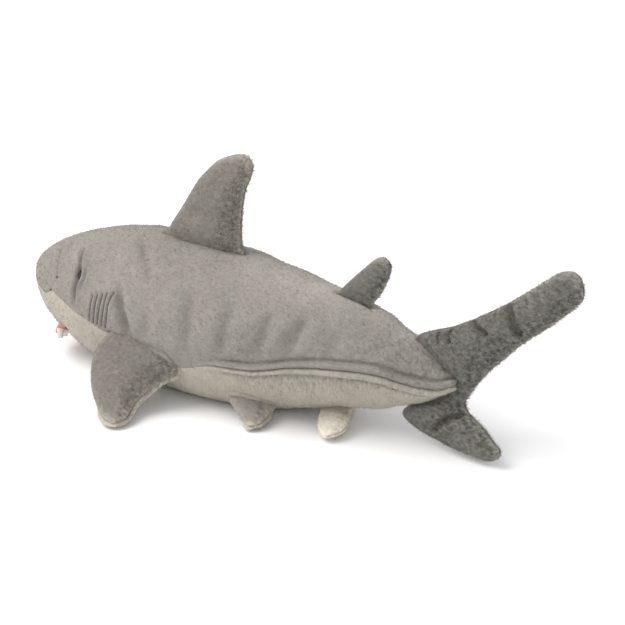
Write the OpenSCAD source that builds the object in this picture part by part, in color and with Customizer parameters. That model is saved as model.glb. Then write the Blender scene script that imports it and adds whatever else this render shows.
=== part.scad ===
// Stuffed plush shark lying on its belly.
// Millimetres, +Z up, head towards -Y, tail towards +Y, the shark's left side on +X.
// Every fabric panel is a closed sheet with a real thickness, and each fin is a pocket of two
// panels round its own stuffing, hinged on the torso where it is sewn on.

/* [Fabric and stuffing] */
// Thickness of the pile fabric, backing and pile together
fabric_t = 2.4; // [1.6:0.1:3.2]
// Gap left between a panel's back and the stuffing, and between sewn pieces
sewing_gap = 0.3; // [0.2:0.1:0.6]
// How far the body stuffing stays inside the outer surface
stuffing_inset = 3.4; // [3:0.1:5]

/* [Fins] */
// Half thickness of the dorsal fin at its fullest
dorsal_half_t = 8; // [5:0.5:10]
// Half thickness of the small rear dorsal fin
rear_dorsal_half_t = 5.5; // [3.5:0.5:7]
// Half thickness of a pectoral fin
pectoral_half_t = 7; // [4:0.5:8]
// Half thickness of a pelvic fin
pelvic_half_t = 4.5; // [3:0.5:5]
// Half thickness of the anal fin
anal_half_t = 5; // [3:0.5:5.5]
// Half thickness of the tail fin
tail_half_t = 8; // [5:0.5:9]

/* [Eyes] */
// Radius of the domed plastic eye
eye_r = 4.5; // [3:0.5:6]
// Radius of the shank behind the eye
eye_shank_r = 1.6; // [1:0.1:2.5]
// Length of the shank behind the fabric's outer surface
eye_shank_len = 9; // [7:0.5:12]
// Radius of the lock washer on the shank
eye_washer_r = 6; // [5:0.5:8]

/* [Stitching] */
// Number of gill slits on each side
gill_count = 5; // [3:1:7]
// Width of one satin-stitched gill slit
gill_w = 1.6; // [1:0.1:2.4]
// Height of the satin stitches above the pile
gill_proud = 0.9; // [0.4:0.1:1.2]

/* [Teeth] */
// Number of triangular teeth on the upper strip
upper_tooth_count = 7; // [5:2:11]
// Length of an upper tooth
upper_tooth_len = 6; // [3:0.5:7]
// Length of a lower tooth
lower_tooth_len = 3; // [2:0.5:3.5]
// Thickness of the felt
felt_t = 1.2; // [0.8:0.1:2]

/* [Hidden] */

// Colours of the fabrics, the stitching and the small pieces
back_grey = [0.63, 0.61, 0.58];
fin_grey = [0.50, 0.49, 0.46];
tail_grey = [0.40, 0.40, 0.38];
belly_cream = [0.78, 0.75, 0.71];
fibre_white = [0.95, 0.95, 0.93];
stitch_grey = [0.30, 0.28, 0.26];
gum_coral = [0.80, 0.53, 0.44];
felt_white = [0.92, 0.92, 0.90];
eye_black = [0.05, 0.05, 0.05];
washer_grey = [0.75, 0.75, 0.72];

// Body stations from the snout to the rear point:
// [y, top, bottom, half width, height of the widest line, squareness of the back, lower edge of
// the back panels, upper edge of the belly panel]. The two edges are angles counted from the top
// of the back, round the side. They meet in one seam behind the wedge of the nose panel.
stations = [
    [-207, 62, 50, 6, 56, 2.0, 62, 98],
    [-204, 68, 41, 11, 55, 2.0, 64, 98],
    [-197, 74, 28, 17, 53, 2.0, 68, 97.5],
    [-185, 82, 19, 24, 51, 2.1, 79, 92],
    [-178, 85.5, 16, 28, 51, 2.1, 83.5, 84.5],
    [-170, 89, 13, 32, 51, 2.1, 87, 87],
    [-153, 95.5, 6, 39, 51, 2.1, 91, 91],
    [-133, 100.5, 1.5, 45, 50, 2.1, 93, 93],
    [-103, 102.5, -3, 49, 49, 2.2, 99, 99],
    [-68, 101.5, -5, 50, 48, 2.2, 108, 108],
    [-33, 99.5, -4.5, 48, 48, 2.2, 98, 98],
    [-3, 95, -1, 44, 49, 2.1, 96, 96],
    [22, 90.5, 5.5, 39, 51, 2.0, 92, 92],
    [52, 86, 14, 32, 52, 1.85, 90, 90],
    [77, 77.5, 21.5, 23, 52, 1.75, 92, 92],
    [93, 71.5, 27, 17, 49, 1.75, 96, 96],
    [107, 62, 34, 12, 48, 1.8, 102, 102],
    [117, 53.5, 42, 8.5, 47.5, 2.0, 108, 108],
    [122, 50, 46, 5, 48, 2.0, 108, 108]
];
snout_y = stations[0][0];
rear_y = stations[len(stations) - 1][0];
// The belly is flattened where the shark rests on it
rest_z = 0;
// Columns of a station row
TOP = 1;
BOTTOM = 2;
HALF_W = 3;
WIDEST_Z = 4;
SQUARENESS = 5;
BACK_EDGE = 6;
BELLY_EDGE = 7;
belly_squareness = 2.1;
// Where the nose panel's wedge ends, beside the nostril knot
nose_tip_y = -179;
// Clearance between sewn panels, along the body and as an angle round it
seam_gap = 0.2;
seam_gap_a = 0.5;
back_cols = 9;
// The mouth is a crescent slit across the underside of the head
mouth_back_y = -164;
mouth_gape = 7;
mouth_bow = 15;
mouth_half_angle = 58;

// Eyes, nostril knots and gill slits on the skin: y, and the angle from the top of the back
eye_y = -149;
eye_a = 58;
// How far the eye is drawn into the head, as its tight stitching does
eye_sink = 2;
eye_washer_depth = 3.4;
eye_washer_t = 1.6;
nostril_y = -177;
nostril_a = 84;
nostril_r = 1.2;
gill_top_y = [-132, -114];
gill_low_y = [-134, -119.5];
gill_top_a = 67;
gill_low_a = 91;

// Fins: [share of the span, front edge, rear edge, fullness]
dorsal_rows = [
    [0, [0, -100, 103.8], [0, -36.5, 100.6], 1],
    [0.14, [0, -94, 114], [0, -37.5, 110], 1],
    [0.35, [0, -83, 131], [0, -37.5, 127], 0.92],
    [0.6, [0, -72, 149], [0, -34.5, 147], 0.8],
    [0.82, [0, -59, 162.5], [0, -29.5, 161], 0.68],
    [1, [0, -44, 172], [0, -32, 172], 0.5]
];
rear_dorsal_rows = [
    [0, [-2, 34, 90.2], [-3, 61, 86], 1],
    [0.2, [-2, 39, 96], [-4, 66, 94], 1],
    [0.5, [-3, 48, 106], [-5, 70, 105], 0.95],
    [0.8, [-4, 56, 114.5], [-6, 71, 114], 0.8],
    [1, [-5, 61, 119.5], [-6, 68, 119.5], 0.55]
];
pectoral_rows = [
    [0, [52.9, -118, 42], [51.3, -64, 26], 1],
    [0.2, [56, -123, 32], [54, -71, 20.5], 1],
    [0.42, [64, -121, 21.5], [62, -76, 15.4], 1],
    [0.64, [75, -113, 13.5], [71, -79, 11], 0.85],
    [0.84, [86, -100, 7.8], [81, -79, 7], 0.62],
    [1, [95, -87, 4.4], [90, -78, 4.4], 0.42]
];
pelvic_rows = [
    [0, [38, -28, 11.2], [29, 1, 6.6], 1],
    [0.3, [42, -21, 8.8], [36, 3, 6.4], 1],
    [0.7, [47.5, -11, 6.2], [45, 2, 5.8], 0.85],
    [1, [51.5, -5, 4.2], [50, -1, 4.2], 0.6]
];
anal_rows = [
    [0, [13, 30, 7.2], [10, 50, 8.9], 1],
    [0.3, [20, 32, 6.8], [17, 53.5, 8.3], 1],
    [0.7, [31, 37, 5.8], [28, 56, 7], 0.95],
    [1, [40, 45, 4.8], [38, 52, 5], 0.6]
];
tail_rows = [
    [0, [14.5, 155, 4.4], [14.5, 160.5, 8], 0.4],
    [0.1, [12, 139, 6.2], [12, 157.5, 16], 0.62],
    [0.22, [8, 117, 8.2], [8, 147, 25], 0.85],
    [0.34, [4, 96, 12.5], [4, 134, 35], 0.95],
    [0.44, [0, 108, 30.5], [0, 131, 41], 0.95],
    [0.5, [0, 126, 46], [0, 139, 48], 0.95],
    [0.56, [0, 116, 61], [0, 147, 59], 1],
    [0.63, [0, 98, 76], [0, 157, 71], 1],
    [0.72, [0, 121, 87.5], [0, 170.5, 86], 0.95],
    [0.82, [0, 150, 107], [0, 187, 101], 0.85],
    [0.92, [0, 178, 131], [0, 202.5, 117], 0.7],
    [1, [0, 197, 142], [0, 207, 134], 0.5]
];

// ---- Interpolation ---------------------------------------------------------------------------

// Index of the row that starts the stretch holding x, in a table sorted by its first column
function row_before(table, x) =
    max([for (i = [0 : len(table) - 2]) if (i == 0 || table[i][0] <= x) i]);

// Slope of a table's column at row i
function slope(table, k, i) =
    let (lo = max(i - 1, 0), hi = min(i + 1, len(table) - 1))
    (table[hi][k] - table[lo][k]) / (table[hi][0] - table[lo][0]);

// Smooth value of column k at x, through every row of the table
function smooth(table, k, x) =
    let (
        i = row_before(table, x),
        span = table[i + 1][0] - table[i][0],
        t = min(max((x - table[i][0]) / span, 0), 1),
        t2 = t * t,
        t3 = t2 * t
    )
    (2 * t3 - 3 * t2 + 1) * table[i][k] + (t3 - 2 * t2 + t) * span * slope(table, k, i)
    + (3 * t2 - 2 * t3) * table[i + 1][k] + (t3 - t2) * span * slope(table, k, i + 1);

function station(y, k) = smooth(stations, k, y);
function signed_pow(v, p) = sign(v) * pow(abs(v), p);
function mix(a, b, t) = a + (b - a) * t;
function unit(v) = v / norm(v);

// Point of the body's skin at y and angle a, counted from the top towards the left side,
// moved inwards by inset
function skin(y, a, inset = 0) =
    let (
        inner_y = mix(snout_y + inset, rear_y - inset, (y - snout_y) / (rear_y - snout_y)),
        widest = station(y, WIDEST_Z),
        half_w = max(station(y, HALF_W) - inset, 0.6),
        up = cos(a) >= 0,
        reach = up ? station(y, TOP) - widest : widest - station(y, BOTTOM),
        half_h = max(reach - inset, 0.4),
        power = 2 / (up ? station(y, SQUARENESS) : belly_squareness),
        z = widest + half_h * signed_pow(cos(a), power)
    )
    [half_w * signed_pow(sin(a), power), inner_y, max(z, rest_z + inset)];

function skin_normal(y, a) =
    unit(cross(skin(y, a + 1) - skin(y, a - 1), skin(y + 1, a) - skin(y - 1, a)));

// ---- Closed sheets ---------------------------------------------------------------------------

// Two grids of points joined into one closed sheet. kept says which cells have fabric, so a slit
// is a row of cells left out. The rim is closed round the outside and round each slit.
module sheet(outer, inner, kept = undef) {
    rows = len(outer) - 1;
    cols = len(outer[0]) - 1;
    count = (rows + 1) * (cols + 1);
    function on(i, j) = i >= 0 && j >= 0 && i < rows && j < cols && (is_undef(kept) || kept[i][j]);
    function at(i, j) = i * (cols + 1) + j;
    points = concat([for (row = outer) each row], [for (row = inner) each row]);
    walls = [
        for (i = [0 : rows - 1], j = [0 : cols - 1]) if (on(i, j)) each [
            [at(i, j), at(i + 1, j + 1), at(i, j + 1)],
            [at(i, j), at(i + 1, j), at(i + 1, j + 1)],
            [count + at(i, j), count + at(i, j + 1), count + at(i + 1, j + 1)],
            [count + at(i, j), count + at(i + 1, j + 1), count + at(i + 1, j)]
        ]
    ];
    function rim(a, b) = [[a, count + b, count + a], [a, b, count + b]];
    rims = [
        for (i = [0 : rows - 1], j = [0 : cols - 1]) if (on(i, j)) each concat(
            on(i - 1, j) ? [] : rim(at(i, j), at(i, j + 1)),
            on(i + 1, j) ? [] : rim(at(i + 1, j + 1), at(i + 1, j)),
            on(i, j - 1) ? [] : rim(at(i + 1, j), at(i, j)),
            on(i, j + 1) ? [] : rim(at(i, j + 1), at(i + 1, j + 1))
        )
    ];
    polyhedron(points, concat(walls, rims), convexity = 6);
}

// ---- Torso -----------------------------------------------------------------------------------

// Rows of y from one end to the other
function stops(y0, y1, n) = [for (i = [0 : n]) mix(y0, y1, i / n)];
// Rows are closer together near the snout and the rear point
function body_stops(y0, n) = [for (i = [0 : n]) mix(y0, rear_y, pow(sin(90 * i / n), 1.3))];

function back_grid(side, inset) = [
    for (y = body_stops(snout_y, 36))
    let (edge = station(y, BACK_EDGE) - seam_gap_a)
    [for (j = [0 : back_cols]) skin(y, side * edge * j / back_cols, inset)]
];

module back_panel(side) {
    if (side > 0)
        sheet(back_grid(side, 0), back_grid(side, fabric_t));
    else
        sheet(back_grid(side, fabric_t), back_grid(side, 0));
}

module back_left_panel() {
    color(back_grey) back_panel(1);
}

module back_right_panel() {
    color(back_grey) back_panel(-1);
}

// The nose panel is a band round the front of the snout, from one nostril knot to the other. It
// fills the wedge between the back panels and the belly panel.
nose_rows = 8;
nose_cols = 6;
function nose_side(side, inset) = [
    for (y = stops(nose_tip_y, snout_y, nose_rows)) [
        for (j = [0 : nose_cols])
        let (
            high = station(y, BACK_EDGE) + seam_gap_a,
            low = station(y, BELLY_EDGE) - seam_gap_a
        )
        skin(y, side * mix(high, low, j / nose_cols), inset)
    ]
];
function nose_grid(inset) = concat(
    nose_side(1, inset),
    [for (i = [nose_rows : -1 : 0]) nose_side(-1, inset)[i]]
);

module nose_panel() {
    color(back_grey) sheet(nose_grid(fabric_t), nose_grid(0));
}

// The mouth's slit curves forward in the middle: rows of the belly grid bow with it
function lip_bow(y, a) =
    let (
        across = min(abs(a - 180) / mouth_half_angle, 1),
        near = min(max(1.4 - abs(y - mouth_back_y + mouth_gape / 2) / 30, 0), 1)
    )
    mouth_bow * near * (1 - across * across);

belly_front = stops(snout_y, mouth_back_y - mouth_gape, 7);
belly_rear = body_stops(mouth_back_y, 30);
belly_rows = concat(belly_front, belly_rear);
mouth_row = len(belly_front) - 1;
belly_cols = 20;

function belly_angle(y, j) =
    let (seam = station(y, BELLY_EDGE) + seam_gap_a)
    mix(seam, 360 - seam, j / belly_cols);
function belly_point(y, j, inset) =
    let (a = belly_angle(y, j))
    skin(max(y - lip_bow(y, a), snout_y), a, inset);
function in_mouth(i, j) = i == mouth_row && j >= 4 && j < belly_cols - 4;

function belly_grid(inset) = [
    for (y = belly_rows) [for (j = [0 : belly_cols]) belly_point(y, j, inset)]
];

module belly_panel() {
    kept = [
        for (i = [0 : len(belly_rows) - 2]) [for (j = [0 : belly_cols - 1]) !in_mouth(i, j)]
    ];
    color(belly_cream) sheet(belly_grid(0), belly_grid(fabric_t), kept);
}

// Stuffing of the head and body, a closed solid inside all the panels
module body_stuffing() {
    ring = 24;
    rows = [
        for (y = stops(snout_y, rear_y, 36)) [
            for (j = [0 : ring - 1]) skin(y, 360 * j / ring, stuffing_inset)
        ]
    ];
    last = len(rows) - 1;
    walls = [
        for (i = [0 : last - 1], j = [0 : ring - 1])
        let (k = (j + 1) % ring)
        each [
            [i * ring + j, (i + 1) * ring + k, i * ring + k],
            [i * ring + j, (i + 1) * ring + j, (i + 1) * ring + k]
        ]
    ];
    ends = [[for (j = [0 : ring - 1]) j], [for (j = [ring - 1 : -1 : 0]) last * ring + j]];
    color(fibre_white) polyhedron([for (row = rows) each row], concat(walls, ends), convexity = 4);
}

// ---- Mouth -----------------------------------------------------------------------------------

// The lining shows through the slit: a coral sheet just inside the opening
function lining_grid(inset) = [
    for (y = stops(mouth_back_y - mouth_gape + 2 * seam_gap, mouth_back_y - 2 * seam_gap, 3)) [
        for (j = stops(4.1, belly_cols - 4.1, belly_cols - 8)) belly_point(y, j, inset)
    ]
];

module mouth_lining() {
    color(gum_coral) sheet(lining_grid(0.9), lining_grid(fabric_t));
}

// One strip of felt teeth, sewn in along a lip: a band with a zigzag edge, lying along the skin.
// dir is the way the teeth point along y, and lift is how far the felt stands off the skin.
module tooth_strip(lip_y, dir, len, count, lift) {
    step = 2 * (mouth_half_angle - 14) / count;
    edge = [
        for (i = [0 : 2 * count])
        let (a = 180 + step * (i / 2 - count / 2), y = lip_y - lip_bow(mouth_back_y - 3, a))
        [a, y, y + dir * (i % 2 == 1 ? len : 0.8)]
    ];
    function grid(depth) = [
        [for (p = edge) skin(p[1], p[0], depth)],
        [for (p = edge) skin(p[2], p[0], depth)]
    ];
    if (dir > 0)
        sheet(grid(-lift - felt_t), grid(-lift));
    else
        sheet(grid(-lift), grid(-lift - felt_t));
}

module upper_teeth() {
    color(felt_white)
    tooth_strip(mouth_back_y - mouth_gape - 1, 1, upper_tooth_len, upper_tooth_count, sewing_gap);
}

module lower_teeth() {
    color(felt_white)
    tooth_strip(mouth_back_y + 1, -1, lower_tooth_len, upper_tooth_count - 2, sewing_gap);
}

// ---- Small pieces on the head ----------------------------------------------------------------

// Places its children on the skin at y and angle a, with +Z along the outward normal
module on_skin(y, a) {
    n = skin_normal(y, a);
    translate(skin(y, a)) rotate([0, acos(n[2]), atan2(n[1], n[0])]) children();
}

// Domed head above the fabric, and the shank that goes through it
module eye(side) {
    color(eye_black) on_skin(eye_y, side * eye_a)
    translate([0, 0, -eye_sink])
    rotate_extrude($fn = 40) polygon([
        [0, -eye_shank_len],
        [eye_shank_r, -eye_shank_len],
        [eye_shank_r, 0],
        for (t = [0 : 9 : 81]) [eye_r * cos(t), 0.05 + 0.7 * eye_r * sin(t)],
        [0, 0.05 + 0.7 * eye_r]
    ]);
}

module eye_left() eye(1);
module eye_right() eye(-1);

// Lock washer pushed up the shank against the back of the fabric
module eye_washer(side) {
    color(washer_grey) on_skin(eye_y, side * eye_a)
    translate([0, 0, -eye_sink - eye_washer_depth - eye_washer_t])
    difference() {
        cylinder(r = eye_washer_r, h = eye_washer_t, $fn = 40);
        translate([0, 0, -1]) cylinder(r = eye_shank_r + 0.05, h = eye_washer_t + 2, $fn = 40);
    }
}

module eye_washer_left() eye_washer(1);
module eye_washer_right() eye_washer(-1);

// Stitched knot beside the nose, a flat button of thread
module nostril(side) {
    color(stitch_grey) on_skin(nostril_y, side * nostril_a)
    translate([0, 0, sewing_gap])
    cylinder(r = nostril_r, h = 0.8, $fn = 24);
}

module nostril_left() nostril(1);
module nostril_right() nostril(-1);

// The two long edges of gill slit number i, lifted off the skin
function gill_edges(side, i, lift) = [
    for (half = [-gill_w / 2, gill_w / 2]) [
        for (s = [0 : 0.125 : 1])
        let (
            t = i / (gill_count - 1),
            y = mix(mix(gill_top_y[0], gill_low_y[0], s), mix(gill_top_y[1], gill_low_y[1], s), t)
        )
        skin(y + half, side * mix(gill_top_a, gill_low_a, s), -lift)
    ]
];

// Satin-stitched gill slits: bars that lie along the skin and lean back towards the top
module gill_stitches(side) {
    color(stitch_grey)
    for (i = [0 : gill_count - 1]) {
        low = gill_edges(side, i, sewing_gap);
        high = gill_edges(side, i, gill_proud);
        if (side > 0) sheet(high, low);
        else sheet(low, high);
    }
}

module gill_stitches_left() gill_stitches(1);
module gill_stitches_right() gill_stitches(-1);

// ---- Fins ------------------------------------------------------------------------------------

// A fin is a table of rows from the root to the tip: [span, front edge point, rear edge point,
// fullness]. The three coordinates of both edges are smoothed along the span.
function fin_columns(rows) = [for (r = rows) [r[0], each r[1], each r[2], r[3]]];

// Middle surface at span s and chord c
function fin_mid(table, s, c) =
    [for (k = [0 : 2]) mix(smooth(table, 1 + k, s), smooth(table, 4 + k, s), c)];

// Half thickness: full in the middle, thin at both edges, round at the root and at the tip
edge_half_t = 0.7;
function fin_half(table, s, c, half_t) =
    let (
        root = min(s / root_round, 1),
        tip = min((1 - s) / 0.22, 1),
        across = pow(max(1 - pow(abs(2 * c - 1), 2.2), 0), 0.55),
        round_root = sqrt(max(1 - (1 - root) * (1 - root), 0)),
        round_tip = sqrt(max(1 - 0.92 * (1 - tip) * (1 - tip), 0))
    )
    edge_half_t + (half_t * smooth(table, 7, s) - edge_half_t) * across * round_root * round_tip;

function fin_normal(table, s, c) =
    let (
        s0 = max(s - 0.02, 0),
        s1 = min(s + 0.02, 1),
        along = fin_mid(table, s1, c) - fin_mid(table, s0, c),
        chord = fin_mid(table, s, 1) - fin_mid(table, s, 0)
    )
    unit(cross(along, chord));

root_round = 0.16;
fin_chords = 8;
// Share of the span and of the chord that the stuffing leaves free at the seams
stuffing_margin = 0.1;

// Spans at which a fin is drawn: every row of its table and two more between each pair
function fin_stops(rows) = concat(
    [for (i = [0 : len(rows) - 2], k = [0 : 2]) mix(rows[i][0], rows[i + 1][0], k / 3)],
    [1]
);

// Grid of one face of a fin, lifted off the middle surface: face is 1 or -1, and thinner is
// taken off the half thickness. The margin is left free along the seams.
function fin_grid(rows, half_t, face, thinner, margin = 0) =
    let (table = fin_columns(rows))
    [
        for (s = fin_stops(rows)) if (s >= 0.8 * margin && s <= 1 - margin) [
            for (j = [0 : fin_chords])
            let (
                c = mix(1.4 * margin, 1 - 1.4 * margin, (1 - cos(180 * j / fin_chords)) / 2),
                t = max(fin_half(table, s, c, half_t) - thinner, margin > 0 ? 0.25 : 0)
            )
            fin_mid(table, s, c) + face * t * fin_normal(table, s, c)
        ]
    ];

// One fabric panel of a fin, from the middle surface or the stuffing out to the pile
module fin_panel(rows, half_t, face) {
    outer = fin_grid(rows, half_t, face, 0);
    inner = fin_grid(rows, half_t, face, fabric_t);
    if (face > 0) sheet(inner, outer);
    else sheet(outer, inner);
}

// Stuffing between the two panels of a fin
module fin_stuffing(rows, half_t) {
    thinner = fabric_t + 3 * sewing_gap;
    color(fibre_white) sheet(
        fin_grid(rows, half_t, -1, thinner, stuffing_margin),
        fin_grid(rows, half_t, 1, thinner, stuffing_margin)
    );
}

// The same fin on the other side of the body
function mirrored(rows) = [for (r = rows) [r[0], across_x(r[1]), across_x(r[2]), r[3]]];
function across_x(p) = [-p[0], p[1], p[2]];

module dorsal_left_panel() {
    color(fin_grey) fin_panel(dorsal_rows, dorsal_half_t, -1);
}
module dorsal_right_panel() {
    color(fin_grey) fin_panel(dorsal_rows, dorsal_half_t, 1);
}
module dorsal_stuffing() {
    fin_stuffing(dorsal_rows, dorsal_half_t);
}

module rear_dorsal_left_panel() {
    color(fin_grey) fin_panel(rear_dorsal_rows, rear_dorsal_half_t, -1);
}
module rear_dorsal_right_panel() {
    color(fin_grey) fin_panel(rear_dorsal_rows, rear_dorsal_half_t, 1);
}
module rear_dorsal_stuffing() {
    fin_stuffing(rear_dorsal_rows, rear_dorsal_half_t);
}

module pectoral_left_upper_panel() {
    color(fin_grey) fin_panel(pectoral_rows, pectoral_half_t, 1);
}
module pectoral_left_lower_panel() {
    color(belly_cream) fin_panel(pectoral_rows, pectoral_half_t, -1);
}
module pectoral_left_stuffing() {
    fin_stuffing(pectoral_rows, pectoral_half_t);
}

module pectoral_right_upper_panel() {
    color(fin_grey) fin_panel(mirrored(pectoral_rows), pectoral_half_t, -1);
}
module pectoral_right_lower_panel() {
    color(belly_cream) fin_panel(mirrored(pectoral_rows), pectoral_half_t, 1);
}
module pectoral_right_stuffing() {
    fin_stuffing(mirrored(pectoral_rows), pectoral_half_t);
}

module pelvic_left_upper_panel() {
    color(fin_grey) fin_panel(pelvic_rows, pelvic_half_t, 1);
}
module pelvic_left_lower_panel() {
    color(belly_cream) fin_panel(pelvic_rows, pelvic_half_t, -1);
}
module pelvic_left_stuffing() {
    fin_stuffing(pelvic_rows, pelvic_half_t);
}

module pelvic_right_upper_panel() {
    color(fin_grey) fin_panel(mirrored(pelvic_rows), pelvic_half_t, -1);
}
module pelvic_right_lower_panel() {
    color(belly_cream) fin_panel(mirrored(pelvic_rows), pelvic_half_t, 1);
}
module pelvic_right_stuffing() {
    fin_stuffing(mirrored(pelvic_rows), pelvic_half_t);
}

module anal_left_panel() {
    color(belly_cream) fin_panel(anal_rows, anal_half_t, 1);
}
module anal_right_panel() {
    color(belly_cream) fin_panel(anal_rows, anal_half_t, -1);
}
module anal_stuffing() {
    fin_stuffing(anal_rows, anal_half_t);
}

module tail_left_panel() {
    color(tail_grey) fin_panel(tail_rows, tail_half_t, -1);
}
module tail_right_panel() {
    color(tail_grey) fin_panel(tail_rows, tail_half_t, 1);
}
module tail_stuffing() {
    fin_stuffing(tail_rows, tail_half_t);
}

back_left_panel();
back_right_panel();
nose_panel();
belly_panel();
body_stuffing();
mouth_lining();
upper_teeth();
lower_teeth();
eye_left();
eye_right();
eye_washer_left();
eye_washer_right();
nostril_left();
nostril_right();
gill_stitches_left();
gill_stitches_right();
dorsal_left_panel();
dorsal_right_panel();
dorsal_stuffing();
rear_dorsal_left_panel();
rear_dorsal_right_panel();
rear_dorsal_stuffing();
pectoral_left_upper_panel();
pectoral_left_lower_panel();
pectoral_left_stuffing();
pectoral_right_upper_panel();
pectoral_right_lower_panel();
pectoral_right_stuffing();
pelvic_left_upper_panel();
pelvic_left_lower_panel();
pelvic_left_stuffing();
pelvic_right_upper_panel();
pelvic_right_lower_panel();
pelvic_right_stuffing();
anal_left_panel();
anal_right_panel();
anal_stuffing();
tail_left_panel();
tail_right_panel();
tail_stuffing();
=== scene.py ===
import math

import bmesh
import bpy
import numpy as np
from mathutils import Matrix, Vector, noise


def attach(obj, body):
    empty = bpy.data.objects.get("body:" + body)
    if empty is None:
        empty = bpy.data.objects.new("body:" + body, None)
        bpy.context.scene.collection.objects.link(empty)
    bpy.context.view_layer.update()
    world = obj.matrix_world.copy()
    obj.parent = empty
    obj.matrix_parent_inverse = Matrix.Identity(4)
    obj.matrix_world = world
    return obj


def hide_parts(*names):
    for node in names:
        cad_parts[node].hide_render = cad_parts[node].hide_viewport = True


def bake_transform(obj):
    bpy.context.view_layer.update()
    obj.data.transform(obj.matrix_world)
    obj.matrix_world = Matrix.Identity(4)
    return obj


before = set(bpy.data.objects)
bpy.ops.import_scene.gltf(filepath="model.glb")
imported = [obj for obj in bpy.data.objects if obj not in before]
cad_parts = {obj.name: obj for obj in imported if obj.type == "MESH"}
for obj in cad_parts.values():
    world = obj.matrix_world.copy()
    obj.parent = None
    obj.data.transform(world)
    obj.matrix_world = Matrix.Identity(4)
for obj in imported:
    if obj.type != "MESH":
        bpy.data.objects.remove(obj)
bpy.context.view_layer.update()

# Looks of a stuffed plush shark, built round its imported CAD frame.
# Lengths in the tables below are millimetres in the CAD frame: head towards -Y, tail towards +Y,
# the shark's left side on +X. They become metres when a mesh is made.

MM = 0.001

# ---- Driving sizes ----

FABRIC_T = 2.4          # backing and pile together
PILE_LEN = 1.9          # length of the pile's loose fibres
FIBRE_W = 0.34          # width of a fibre, or of the few that cling together
PILE_PER_MM2 = 0.9      # loose fibres on a square millimetre of rough pile
WELT_BACK_W = (3.4, 5.0)     # width of the back fabric's roll along the side seam, front and rear
WELT_BELLY_W = (4.2, 6.2)    # width of the belly fabric's roll
WELT_H = 2.9            # height of the rolls
SEAM_TUCK = 0.6         # how far a seam is drawn in
GILL_COUNT = 5
THREAD_R = 0.42         # radius of a satin stitch

# Body stations, as in the CAD source: y, top, bottom, half width, height of the widest line,
# squareness of the back, lower edge of the back panels, upper edge of the belly panel. The edges
# are angles from the top of the back, and meet in one seam behind the nose panel's wedge.
STATIONS = [
    [-207, 62, 50, 6, 56, 2.0, 62, 98],
    [-204, 68, 41, 11, 55, 2.0, 64, 98],
    [-197, 74, 28, 17, 53, 2.0, 68, 97.5],
    [-185, 82, 19, 24, 51, 2.1, 79, 92],
    [-178, 85.5, 16, 28, 51, 2.1, 83.5, 84.5],
    [-170, 89, 13, 32, 51, 2.1, 87, 87],
    [-153, 95.5, 6, 39, 51, 2.1, 91, 91],
    [-133, 100.5, 1.5, 45, 50, 2.1, 93, 93],
    [-103, 102.5, -3, 49, 49, 2.2, 99, 99],
    [-68, 101.5, -5, 50, 48, 2.2, 108, 108],
    [-33, 99.5, -4.5, 48, 48, 2.2, 98, 98],
    [-3, 95, -1, 44, 49, 2.1, 96, 96],
    [22, 90.5, 5.5, 39, 51, 2.0, 92, 92],
    [52, 86, 14, 32, 52, 1.85, 90, 90],
    [77, 77.5, 19, 23, 52, 1.75, 92, 92],
    [93, 71.5, 23.5, 17, 49, 1.75, 96, 96],
    [107, 63, 30, 12.5, 48, 1.8, 102, 102],
    [117, 55, 38.5, 10, 47.5, 2.0, 108, 108],
    [122, 52, 43.5, 7, 48, 2.0, 108, 108],
]
TOP, BOTTOM, HALF_W, WIDEST, SQUARENESS, BACK_EDGE, BELLY_EDGE = range(1, 8)
BELLY_SQUARENESS = 2.1
SNOUT_Y = STATIONS[0][0]
REAR_Y = STATIONS[-1][0]
NOSE_CAP = 2.5          # how far the rounded ends stand past the first and last station
NOSE_TIP_Y = -179       # where the nose panel's wedge ends
MOUTH_BACK_Y = -164
MOUTH_GAPE = 7
MOUTH_BOW = 15
MOUTH_HALF_ANGLE = 58

# Fins, after the CAD source: share of the span, front edge's x y z, rear edge's x y z, fullness.
# The first row lies inside the body, where the fabric goes through the seam, and the last is as wide
# as the tip before its corners are rounded.
DORSAL = [
    [-0.12, 0, -104, 94, 0, -36, 92, 0.5],
    [0, 0, -100, 103.8, 0, -36, 100.6, 0.58],
    [0.14, 0, -94, 114, 0, -38, 110, 0.85],
    [0.35, 0, -83, 131, 0, -38, 127, 0.92],
    [0.6, 0, -72, 149, 0, -35, 147, 0.8],
    [0.82, 0, -60, 162.5, 0, -29.5, 161, 0.72],
    [1, 0, -50, 171.5, 0, -27.5, 175.5, 0.62],
]
REAR_DORSAL = [
    [-0.25, -1, 29, 82, -2, 58, 78, 0.55],
    [0, -2, 34, 90.2, -3, 61.5, 87.5, 0.65],
    [0.2, -2, 39, 96, -4, 66, 95, 0.9],
    [0.5, -3, 48, 106, -5, 70, 105, 0.95],
    [0.8, -4, 56, 114.5, -6, 72, 114, 0.85],
    [1, -5, 59, 120, -6, 71, 121.5, 0.7],
]
PECTORAL = [
    [-0.2, 38, -112, 48, 38, -62, 34, 1],
    [0, 50.4, -118, 42.5, 49, -61, 26, 1],
    [0.2, 56, -123, 32, 54, -70, 20.5, 1],
    [0.42, 64, -121, 21.5, 62, -75, 15.8, 1],
    [0.64, 75, -113, 13.5, 71, -78.5, 11.4, 0.9],
    [0.84, 86, -101, 7.8, 81, -77.5, 7.2, 0.72],
    [1, 97, -90, 4.6, 92, -76, 4.4, 0.6],
]
PELVIC = [
    [-0.35, 30, -25, 18, 21, 3, 13, 1],
    [0, 38, -27, 13.6, 30, 2.5, 9.5, 1],
    [0.3, 42, -21, 9.8, 36, 4, 7.4, 1],
    [0.7, 47.5, -11.5, 6.2, 45, 3.4, 5.6, 0.9],
    [1, 53, -7, 4.4, 51, 0.5, 4.4, 0.75],
]
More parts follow.
